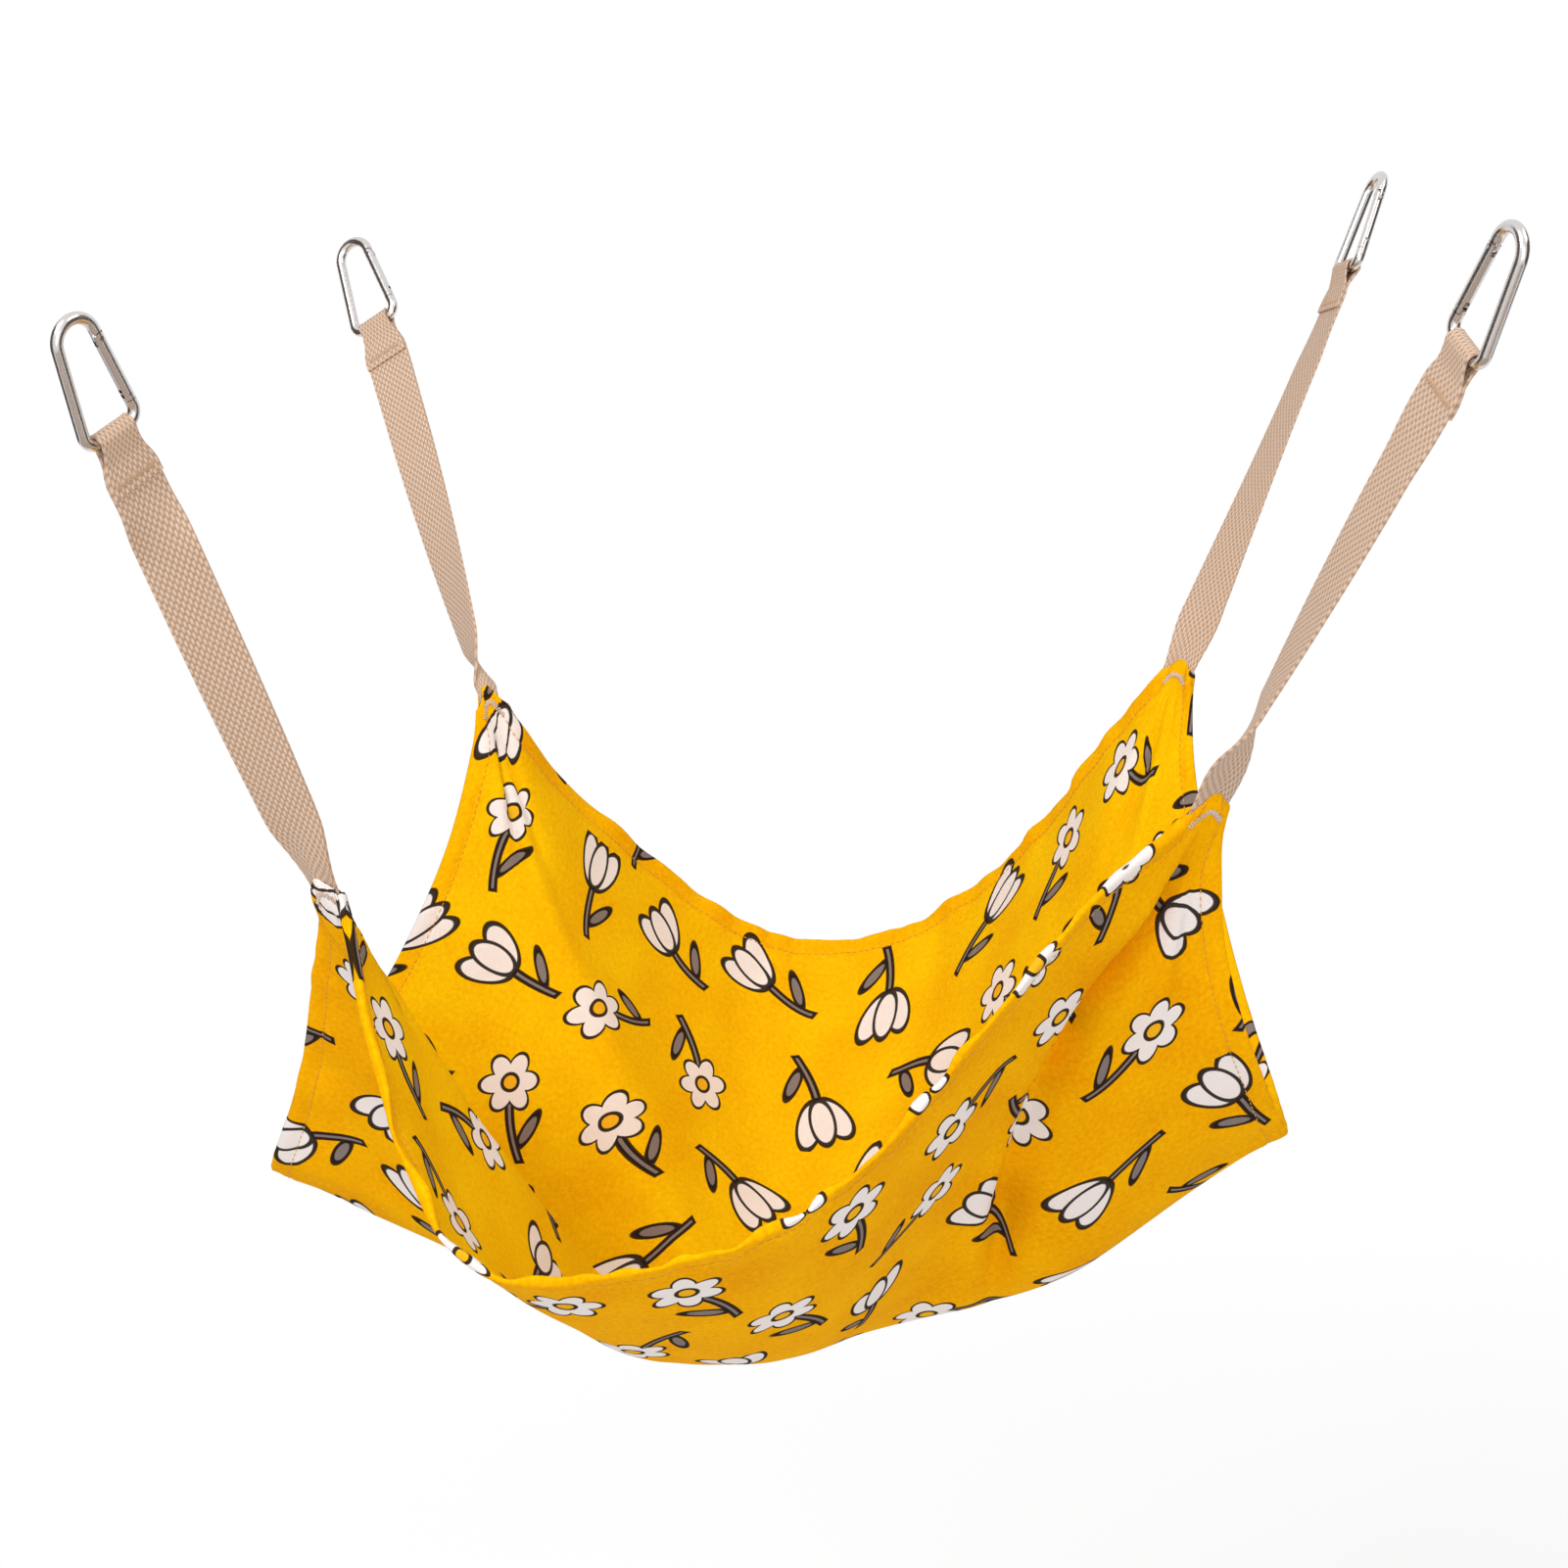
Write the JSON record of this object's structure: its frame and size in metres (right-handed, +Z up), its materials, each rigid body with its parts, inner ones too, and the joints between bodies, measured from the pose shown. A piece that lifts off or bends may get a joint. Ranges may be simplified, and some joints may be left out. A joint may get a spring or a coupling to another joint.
{
  "type": "cat hammock",
  "caption": "Hanging pet sling of two cloth layers, held at each corner by a webbing strap whose sewn loop turns on a snap carabiner.",
  "frame": {"origin": "centre of the rectangle of hanging points, level with the inside of the carabiners' top bends", "axes": "+X to the right along the longer side, +Y to the back, +Z up"},
  "size_m": [0.5635, 0.4716, 0.5185],
  "materials": {
    "canvas": "woven cotton canvas, printed",
    "webbing": "herringbone woven band",
    "thread": "sewn bar tack",
    "polished_aluminium": "polished",
    "steel": "drawn wire"
  },
  "bodies": {
    "sling": {"outer_panel": "canvas", "inner_panel": "canvas", "sewn_end_front_left": "webbing", "sewn_end_front_right": "webbing", "sewn_end_back_left": "webbing", "sewn_end_back_right": "webbing", "corner_tack_front_left": "thread", "corner_tack_front_right": "thread", "corner_tack_back_left": "thread", "corner_tack_back_right": "thread"},
    "strap_front_left": {"strap_front_left": "webbing", "fold_tack_front_left": "thread"},
    "carabiner_front_left": {"carabiner_front_left": "polished_aluminium", "gate_rivet_front_left": "steel"},
    "gate_front_left": {"gate_front_left": "polished_aluminium", "latch_pin_front_left": "steel", "gate_spring_front_left": "steel", "spring_plunger_front_left": "steel"},
    "strap_front_right": {"strap_front_right": "webbing", "fold_tack_front_right": "thread"},
    "carabiner_front_right": {"carabiner_front_right": "polished_aluminium", "gate_rivet_front_right": "steel"},
    "gate_front_right": {"gate_front_right": "polished_aluminium", "latch_pin_front_right": "steel", "gate_spring_front_right": "steel", "spring_plunger_front_right": "steel"},
    "strap_back_left": {"strap_back_left": "webbing", "fold_tack_back_left": "thread"},
    "carabiner_back_left": {"carabiner_back_left": "polished_aluminium", "gate_rivet_back_left": "steel"},
    "gate_back_left": {"gate_back_left": "polished_aluminium", "latch_pin_back_left": "steel", "gate_spring_back_left": "steel", "spring_plunger_back_left": "steel"},
    "strap_back_right": {"strap_back_right": "webbing", "fold_tack_back_right": "thread"},
    "carabiner_back_right": {"carabiner_back_right": "polished_aluminium", "gate_rivet_back_right": "steel"},
    "gate_back_right": {"gate_back_right": "polished_aluminium", "latch_pin_back_right": "steel", "gate_spring_back_right": "steel", "spring_plunger_back_right": "steel"}
  },
  "joints": [
    {"name": "strap_swing_front_left", "type": "hinge", "parent": "sling", "child": "strap_front_left", "pos_m": [-0.22036, -0.12801, -0.24253], "axis": [0.9178, -0.3931, -0.0558], "range_deg": [-20, 20]},
    {"name": "carabiner_swing_front_left", "type": "hinge", "parent": "strap_front_left", "child": "carabiner_front_left", "pos_m": [-0.26083, -0.19536, -0.04305], "axis": [0.57, 0.7253, 0.3861], "range_deg": [-60, 60]},
    {"name": "gate_swing_front_left", "type": "hinge", "parent": "carabiner_front_left", "child": "gate_front_left", "pos_m": [-0.25876, -0.20407, -0.00536], "axis": [-0.8169, 0.5505, 0.1719], "range_deg": [0, 26], "stiffness_Nm_per_rad": 0.05, "springref_deg": -34.38},
    {"name": "strap_swing_front_right", "type": "hinge", "parent": "sling", "child": "strap_front_right", "pos_m": [0.15773, -0.12748, -0.22196], "axis": [-0.8648, -0.4982, -0.0622], "range_deg": [-20, 20]},
    {"name": "carabiner_swing_front_right", "type": "hinge", "parent": "strap_front_right", "child": "carabiner_front_right", "pos_m": [0.24973, -0.19681, -0.04114], "axis": [-0.2927, 0.8296, 0.4755], "range_deg": [-60, 60]},
    {"name": "gate_swing_front_right", "type": "hinge", "parent": "carabiner_front_right", "child": "gate_front_right", "pos_m": [0.25905, -0.20339, -0.00412], "axis": [-0.9006, -0.4063, 0.1545], "range_deg": [0, 26], "stiffness_Nm_per_rad": 0.05, "springref_deg": -34.38},
    {"name": "strap_swing_back_left", "type": "hinge", "parent": "sling", "child": "strap_back_left", "pos_m": [-0.18666, 0.07489, -0.20689], "axis": [0.8897, 0.4504, 0.0746], "range_deg": [-20, 20]},
    {"name": "carabiner_swing_back_left", "type": "hinge", "parent": "strap_back_left", "child": "carabiner_back_left", "pos_m": [-0.24964, 0.19089, -0.03794], "axis": [0.8642, -0.1853, 0.4677], "range_deg": [-60, 60]},
    {"name": "gate_swing_back_left", "type": "hinge", "parent": "carabiner_back_left", "child": "gate_back_left", "pos_m": [-0.25365, 0.20822, -0.00352], "axis": [0.3854, 0.8414, -0.3787], "range_deg": [0, 26], "stiffness_Nm_per_rad": 0.05, "springref_deg": -34.38},
    {"name": "strap_swing_back_right", "type": "hinge", "parent": "sling", "child": "strap_back_right", "pos_m": [0.15633, 0.12959, -0.22237], "axis": [-0.9063, 0.4193, 0.0518], "range_deg": [-20, 20]},
    {"name": "carabiner_swing_back_right", "type": "hinge", "parent": "strap_back_right", "child": "carabiner_back_right", "pos_m": [0.2471, 0.20051, -0.04154], "axis": [0.2985, -0.9338, 0.1972], "range_deg": [-60, 60]},
    {"name": "gate_swing_back_right", "type": "hinge", "parent": "carabiner_back_right", "child": "gate_back_right", "pos_m": [0.26407, 0.20318, -0.00682], "axis": [0.8769, 0.1867, -0.4429], "range_deg": [0, 26], "stiffness_Nm_per_rad": 0.05, "springref_deg": -34.38}
  ]
}
